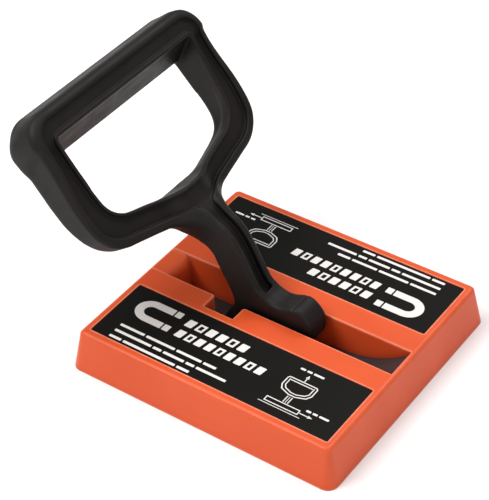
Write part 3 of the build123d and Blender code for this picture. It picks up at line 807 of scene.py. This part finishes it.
def pictogram(p):
    """The grip, its stem, a plate below it and two arrows, in thin outline."""
    def grip(g):
        """Grip outline, inset by g."""
        return [(19.6 + g, -24.2), (19.6 + g, -27.6 + 0.3 * g), (20.6 + 0.9 * g, -29.4 + 0.8 * g),
                (24.0 + 0.2 * g, -30.6 + g), (26.4 - 0.2 * g, -30.6 + g),
                (29.7 - 0.9 * g, -29.4 + 0.8 * g), (30.7 - g, -27.6 + 0.3 * g), (30.7 - g, -24.2),
                (30.2 - 0.8 * g, -23.5 - 0.8 * g), (29.6 - 0.4 * g, -23.4 - g),
                (25.2, -23.4 - g), (20.6 + 0.4 * g, -23.4 - g), (20.0 + 0.8 * g, -23.5 - 0.8 * g)]

    def plate(g):
        left, right, low, high = 18.8 + g, 31.0 - g, -36.3 + g, -34.2 - g
        return [(left, high), (left, low), (right, low), (right, high)]

    p.band(grip(0.0), grip(0.38))
    p.band(grip(1.05), grip(1.40))
    for x, width in ((24.3, LINE), (25.95, LINE), (25.12, 0.20)):       # stem
        p.stroke(x, -31.0, x, -33.9, width)
    p.band(plate(0.0), plate(0.35))
    # arrow sideways from the plate, arrow up from the grip
    p.stroke(31.2, -35.25, 34.4, -35.25)
    p.solid([(34.2, -34.65), (35.8, -35.25), (34.2, -35.85)])
    p.stroke(25.15, -23.2, 25.15, -21.4)
    p.solid([(24.5, -21.7), (25.8, -21.7), (25.15, -20.2)])
    # captions of the arrows, line under the plate
    p.dashes(20.9, 29.4, -19.2, -18.4, (2, 2, 4), gap=0.6)
    p.dashes(32.4, 40.4, -33.6, -32.8, (2, 2, 4), gap=0.6)
    p.stroke(17.4, -37.1, 32.4, -37.1, width=0.24)


def print_legend(rear, name, ink):
    p = Print(rear)
    header_row(p, -21.2, 2.3, -22.9, -19.5, count=6)
    header_row(p, -21.2, 12.3, -28.4, -25.0, count=9)
    # three fine lines: right end, bottom, top, dash proportions
    for x1, y0, y1, lengths in ((-0.9, -33.95, -32.95, (6, 7, 6, 3)),
                                (4.8, -36.85, -35.85, (9, 2, 5, 2, 7)),
                                (-7.1, -39.75, -38.75, (3, 13, 3))):
        p.dashes(-38.2, x1, y0, y1, lengths, gap=0.8)
    pictogram(p)
    p.done(name, ink)


print_icon(False, "print_icon_front", INK_GREY)
print_icon(True, "print_icon_rear", INK_WHITE)
print_legend(False, "print_legend_front", INK_WHITE)
print_legend(True, "print_legend_rear", INK_WHITE)

# =====================================================================
# Stage: pale floor, soft studio light, camera
# =====================================================================
FLOOR_HALF = 4.0
FLOOR_GAP = 0.00005
LIGHT_TARGET = Vector((0, 0, 0.03))
# name, place, side of the square, watts
LIGHTS = (
    ("key", (-0.50, -0.48, 0.95), 0.7, 9.6),
    ("fill", (0.75, -0.5, 0.45), 0.6, 2.0),
    ("top", (0.0, 0.35, 1.1), 0.8, 3.8),
    ("rim", (0.04, 0.78, 0.95), 0.45, 2.8),
    ("edge", (-0.60, 0.0, 1.0), 0.35, 1.3),
)
CAMERA_PLACE = (0.33477, -0.47774, 0.54369)
AZIMUTH, ELEVATION, ROLL = (math.radians(a) for a in (36.447, 39.944, -2.189))
FOCAL_LENGTH = 128.722454       # mm, on a 36 mm sensor


def make_floor():
    mesh = bpy.data.meshes.new("floor")
    s = FLOOR_HALF
    mesh.from_pydata([(-s, -s, 0), (s, -s, 0), (s, s, 0), (-s, s, 0)], [], [(0, 1, 2, 3)])
    m = Material("pale_floor")
    tint = m.mix(m.mottle(scale=3.0, detail=3.0), (0.97, 0.97, 0.97), (0.99, 0.99, 0.99))
    mesh.materials.append(m.surface(color=tint, roughness=0.75, specular=0.2))
    floor = add_object("floor", mesh)
    floor.location.z = cad_lo.z - FLOOR_GAP


def make_world():
    world = bpy.data.worlds.new("studio")
    world.use_nodes = True
    background = world.node_tree.nodes["Background"]
    background.inputs["Color"].default_value = (1.0, 1.0, 1.0, 1.0)
    background.inputs["Strength"].default_value = 0.29
    scene.world = world


def make_light(name, place, size, power):
    light = bpy.data.lights.new(name, "AREA")
    light.shape = "RECTANGLE"
    light.size = size
    light.size_y = size
    light.energy = power
    obj = add_object(name, light)
    obj.location = place
    obj.rotation_mode = "QUATERNION"
    obj.rotation_quaternion = (LIGHT_TARGET - Vector(place)).to_track_quat("-Z", "Y")


def make_camera():
    back = Vector((math.sin(AZIMUTH) * math.cos(ELEVATION),
                   -math.cos(AZIMUTH) * math.cos(ELEVATION), math.sin(ELEVATION)))
    level = Vector((math.cos(AZIMUTH), math.sin(AZIMUTH), 0))
    upright = back.cross(level)
    right = level * math.cos(ROLL) + upright * math.sin(ROLL)
    up = -level * math.sin(ROLL) + upright * math.cos(ROLL)
    data = bpy.data.cameras.new("camera")
    data.sensor_fit = "HORIZONTAL"
    data.sensor_width = 36.0
    data.lens = FOCAL_LENGTH
    data.clip_start = 0.01
    data.clip_end = 20.0
    camera = bpy.data.objects.new("camera", data)
    rows = zip(right, up, back, Vector(CAMERA_PLACE))
    camera.matrix_world = Matrix((*rows, (0, 0, 0, 1)))
    scene.collection.objects.link(camera)
    scene.camera = camera


make_floor()
make_world()
for light_row in LIGHTS:
    make_light(*light_row)
make_camera()

scene.view_settings.view_transform = "Standard"
scene.view_settings.look = "None"
